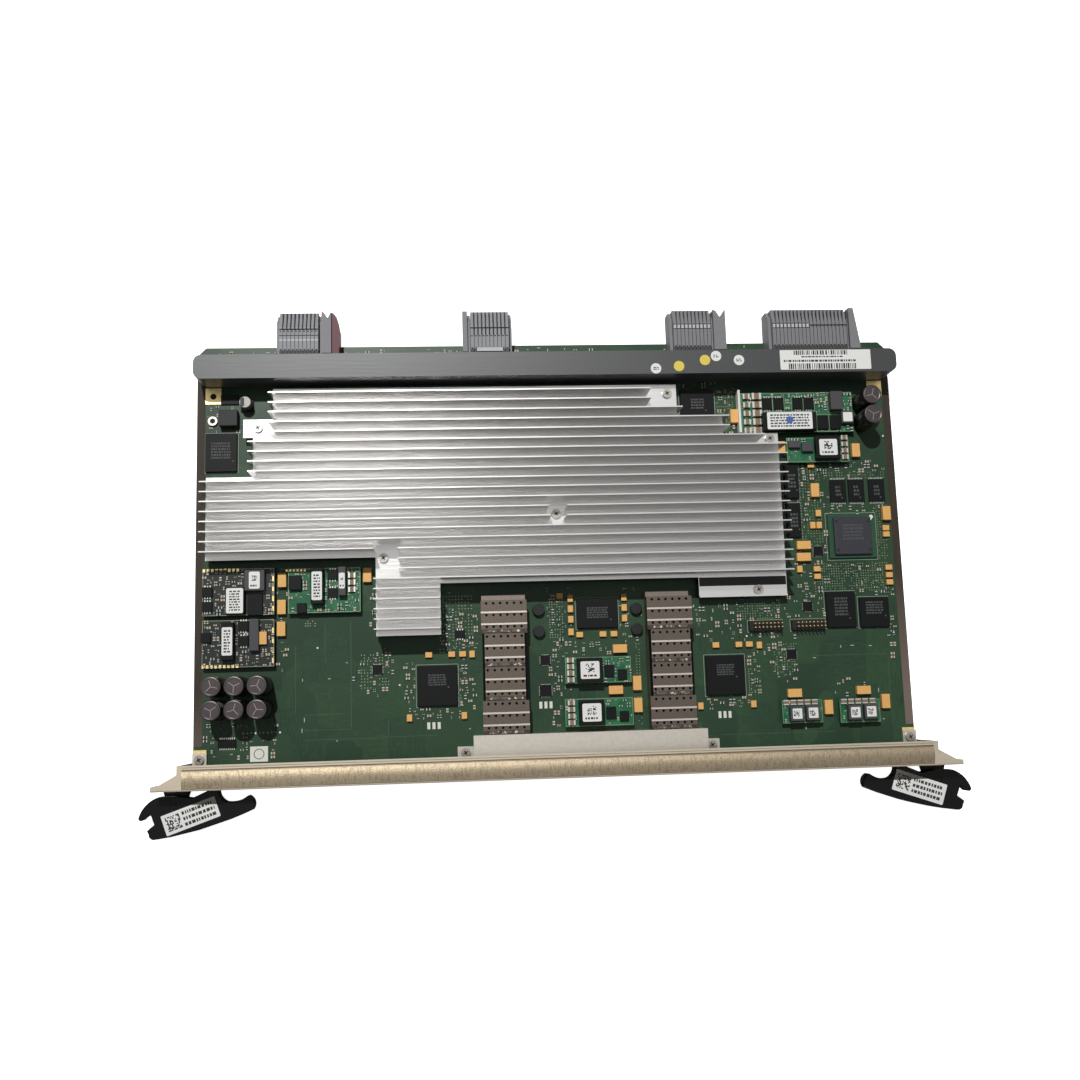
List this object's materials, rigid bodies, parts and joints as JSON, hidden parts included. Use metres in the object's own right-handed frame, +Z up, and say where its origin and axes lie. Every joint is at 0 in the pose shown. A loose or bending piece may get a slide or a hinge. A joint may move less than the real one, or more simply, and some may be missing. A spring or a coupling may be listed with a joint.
{
  "type": "ethernet interface board",
  "caption": "Plug-in network card: multilayer board with a finned heat sink, transceiver cages, backplane connectors, front panel and ejector levers.",
  "frame": {"origin": "centre of the circuit board underside", "axes": "+X along the front panel, +Y back to the backplane connectors, +Z up from the component side"},
  "size_m": [0.413, 0.2625, 0.031],
  "materials": {
    "black_metal": "satin black",
    "board_green": "solder mask over laminate",
    "cage_metal": "stamped, bright",
    "can_metal": "bright top",
    "chip_black": "matte",
    "chromate_metal": "yellow chromate",
    "connector_grey": "matte",
    "core_grey": "sintered",
    "frame_metal": "satin",
    "gasket_fabric": "woven, metallised",
    "key_red": "matte",
    "lever_black": "matte",
    "lid_metal": "plated",
    "module_green": "solder mask over laminate",
    "pad_grey": "soft",
    "panel_metal": "brushed",
    "pin_gold": "plated",
    "screw_steel": "zinc plated",
    "sink_aluminium": "extruded, satin",
    "stiffener_grey": "satin",
    "tantalum_yellow": "moulded"
  },
  "bodies": {
    "card": {"board_screws": "screw_steel", "bulk_capacitors": "can_metal", "cage_cover_left": "cage_metal", "cage_cover_right": "cage_metal", "chokes": "core_grey", "connector_tray_1": "connector_grey", "connector_tray_2": "connector_grey", "connector_tray_3": "connector_grey", "connector_tray_4": "connector_grey", "connector_wafers_1": "connector_grey", "connector_wafers_2": "connector_grey", "connector_wafers_3": "connector_grey", "connector_wafers_4": "connector_grey", "core_supply_boards": "module_green", "corner_bracket_left": "chromate_metal", "corner_bracket_right": "chromate_metal", "corner_supply_boards": "module_green", "front_panel": "panel_metal", "header_pins": "pin_gold", "header_strips": "chip_black", "heat_sink": "sink_aluminium", "heat_sink_screws": "screw_steel", "heat_sink_spacers": "screw_steel", "hinge_bracket_left": "black_metal", "hinge_bracket_right": "black_metal", "hinge_pins": "black_metal", "host_connectors": "chip_black", "input_capacitors": "can_metal", "input_supply_boards": "module_green", "key_block_red": "key_red", "key_blocks": "connector_grey", "large_tantalums": "tantalum_yellow", "left_supply_boards": "module_green", "logic_chips": "chip_black", "main_board": "board_green", "memory_chips": "chip_black", "module_chips": "chip_black", "module_cores": "chip_black", "module_ferrites": "core_grey", "network_chips": "chip_black", "panel_gasket": "gasket_fabric", "port_frame": "frame_metal", "port_supply_boards": "module_green", "processor_lid": "lid_metal", "processor_substrate": "module_green", "rear_stiffener": "stiffener_grey", "side_supply_boards": "module_green", "sink_processors": "chip_black", "small_can_capacitor": "can_metal", "small_chips": "chip_black", "small_tantalums": "tantalum_yellow", "stiffener_screws": "screw_steel", "thermal_pads": "pad_grey", "transceiver_cage_left": "cage_metal", "transceiver_cage_right": "cage_metal"},
    "left_lever": {"ejector_left": "lever_black"},
    "right_lever": {"ejector_right": "lever_black"}
  },
  "joints": [
    {"name": "left_ejector_hinge", "type": "hinge", "parent": "card", "child": "left_lever", "pos_m": [-0.19002, -0.1225, 0.009], "axis": [0, 0, -1], "range_deg": [0, 40]},
    {"name": "right_ejector_hinge", "type": "hinge", "parent": "card", "child": "right_lever", "pos_m": [0.19002, -0.1225, 0.009], "axis": [0, 0, 1], "range_deg": [0, 40]}
  ]
}
